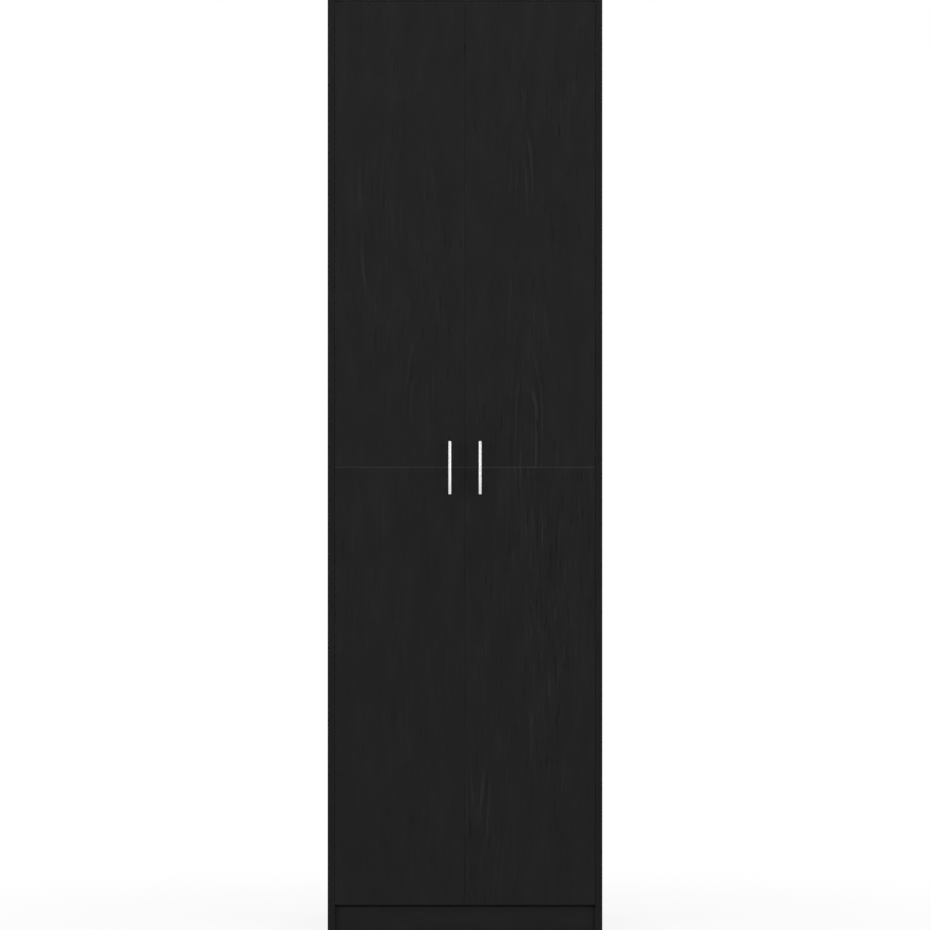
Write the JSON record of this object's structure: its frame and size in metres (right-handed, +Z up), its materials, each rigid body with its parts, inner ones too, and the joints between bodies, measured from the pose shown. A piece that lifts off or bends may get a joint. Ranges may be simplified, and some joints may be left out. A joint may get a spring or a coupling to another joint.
{
  "type": "wardrobe",
  "caption": "Tall narrow wardrobe with inset doors on invisible hinges, round bar handles, a plinth set back a little, shelves and a hanging rail inside.",
  "frame": {"origin": "on the floor under the middle of the overall box, handles included", "axes": "+Z up; the doors face -Y; +X to the right of someone who faces the doors"},
  "size_m": [0.6, 0.552, 2.04],
  "materials": {
    "door_decor": "black wood-grain decor, satin",
    "side_decor": "black wood-grain decor, satin",
    "plinth_decor": "black wood-grain decor, satin",
    "inner_decor": "black wood-grain decor, satin",
    "back_board": "hardboard, black decor on its inner face",
    "handle_metal": "satin nickel",
    "hinge_zinc": "nickel-plated die casting",
    "hinge_steel": "blackened steel",
    "rail_steel": "bright plated tube",
    "bracket_steel": "black powder coat",
    "peg_steel": "nickel-plated",
    "felt": "black felt",
    "black_plastic": "moulded, fine grain"
  },
  "bodies": {
    "carcass": {"adjustable_shelf": "inner_decor", "back_joiner": "black_plastic", "back_panel_lower": "back_board", "back_panel_upper": "back_board", "bottom_panel": "inner_decor", "floor_glides": "black_plastic", "hanging_rail": "rail_steel", "hat_shelf": "inner_decor", "left_side_barrels": "hinge_zinc", "left_side_panel": "side_decor", "plinth_board": "plinth_decor", "rail_sockets": "black_plastic", "right_side_barrels": "hinge_zinc", "right_side_panel": "side_decor", "shelf_pegs": "peg_steel", "top_panel": "inner_decor", "wall_bracket": "bracket_steel"},
    "left_links": {"left_cross_links": "hinge_steel"},
    "left_door": {"left_door_panel": "door_decor", "left_handle_bar": "handle_metal", "left_handle_posts": "handle_metal", "left_door_bumpers": "felt", "left_door_barrels": "hinge_zinc"},
    "right_links": {"right_cross_links": "hinge_steel"},
    "right_door": {"right_door_panel": "door_decor", "right_handle_bar": "handle_metal", "right_handle_posts": "handle_metal", "right_door_bumpers": "felt", "right_door_barrels": "hinge_zinc"}
  },
  "joints": [
    {"name": "left_link_pivot", "type": "hinge", "parent": "carcass", "child": "left_links", "pos_m": [-0.2949, -0.2407, 1.046], "axis": [0, 0, -1], "range_deg": [0, 47.5]},
    {"name": "left_door_swing", "type": "hinge", "parent": "left_links", "child": "left_door", "pos_m": [-0.2739, -0.2407, 1.046], "axis": [0, 0, -1], "range_deg": [0, 47.5]},
    {"name": "right_link_pivot", "type": "hinge", "parent": "carcass", "child": "right_links", "pos_m": [0.2949, -0.2407, 1.046], "axis": [0, 0, 1], "range_deg": [0, 47.5]},
    {"name": "right_door_swing", "type": "hinge", "parent": "right_links", "child": "right_door", "pos_m": [0.2739, -0.2407, 1.046], "axis": [0, 0, 1], "range_deg": [0, 47.5]}
  ],
  "couplings": [
    {"joint": "left_link_pivot", "follows": "left_door_swing", "ratio": 1},
    {"joint": "right_link_pivot", "follows": "right_door_swing", "ratio": 1}
  ]
}
